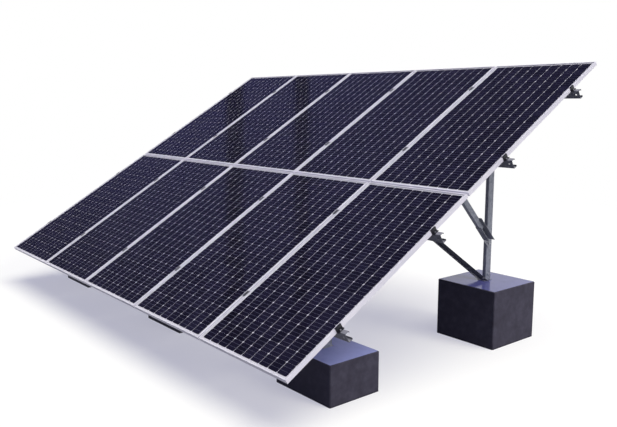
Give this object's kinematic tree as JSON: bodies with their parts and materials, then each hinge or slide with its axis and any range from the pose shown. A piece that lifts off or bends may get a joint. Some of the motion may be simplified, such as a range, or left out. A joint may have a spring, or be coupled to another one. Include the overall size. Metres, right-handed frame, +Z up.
{
  "type": "solar ballast mount",
  "caption": "Fixed-tilt ground mount holding portrait solar modules on purlins and braced steel frames, held down by dark concrete ballast blocks.",
  "frame": {"origin": "on the ground, under the middle of the array's bounding box", "axes": "+X along the array's long side, +Y from the low front edge to the high rear edge, +Z up"},
  "size_m": [5.9, 3.784, 2.6882],
  "materials": {
    "cast_block": "smooth dark cast concrete, sealed",
    "anodised_rail": "satin clear anodised",
    "solar_glass": "tempered low-iron, fine matt texture",
    "silicon_cell": "dark blue coated silicon",
    "backsheet": "white laminated film",
    "box_plastic": "moulded black",
    "clamp_black": "black anodised",
    "zinc_bolt": "zinc plated",
    "zinc_steel": "galvanised, weathered grey"
  },
  "bodies": {
    "root": {"anchor_bolts": "zinc_bolt", "backsheets": "backsheet", "base_shoes": "zinc_steel", "cell_strings": "silicon_cell", "clamp_bolts": "zinc_bolt", "cleat_bolts": "zinc_bolt", "end_clamps": "clamp_black", "frame_bolts": "zinc_bolt", "junction_boxes": "box_plastic", "knee_brackets": "zinc_steel", "left_front_block": "cast_block", "left_front_post": "zinc_steel", "left_knee_brace": "zinc_steel", "left_rafter": "zinc_steel", "left_rear_block": "cast_block", "left_rear_post": "zinc_steel", "mid_clamps": "clamp_black", "middle_front_block": "cast_block", "middle_front_post": "zinc_steel", "middle_knee_brace": "zinc_steel", "middle_lateral_brace": "zinc_steel", "middle_rafter": "zinc_steel", "middle_rear_block": "cast_block", "middle_rear_post": "zinc_steel", "module_frame_lower_1": "anodised_rail", "module_frame_lower_2": "anodised_rail", "module_frame_lower_3": "anodised_rail", "module_frame_lower_4": "anodised_rail", "module_frame_lower_5": "anodised_rail", "module_frame_upper_1": "anodised_rail", "module_frame_upper_2": "anodised_rail", "module_frame_upper_3": "anodised_rail", "module_frame_upper_4": "anodised_rail", "module_frame_upper_5": "anodised_rail", "module_glass_lower_1": "solar_glass", "module_glass_lower_2": "solar_glass", "module_glass_lower_3": "solar_glass", "module_glass_lower_4": "solar_glass", "module_glass_lower_5": "solar_glass", "module_glass_upper_1": "solar_glass", "module_glass_upper_2": "solar_glass", "module_glass_upper_3": "solar_glass", "module_glass_upper_4": "solar_glass", "module_glass_upper_5": "solar_glass", "purlin_1": "zinc_steel", "purlin_2": "zinc_steel", "purlin_3": "zinc_steel", "purlin_4": "zinc_steel", "purlin_cleats": "zinc_steel", "rafter_clevises": "zinc_steel", "right_front_block": "cast_block", "right_front_post": "zinc_steel", "right_knee_brace": "zinc_steel", "right_lateral_brace": "zinc_steel", "right_rafter": "zinc_steel", "right_rear_block": "cast_block", "right_rear_post": "zinc_steel"}
  },
  "joints": []
}
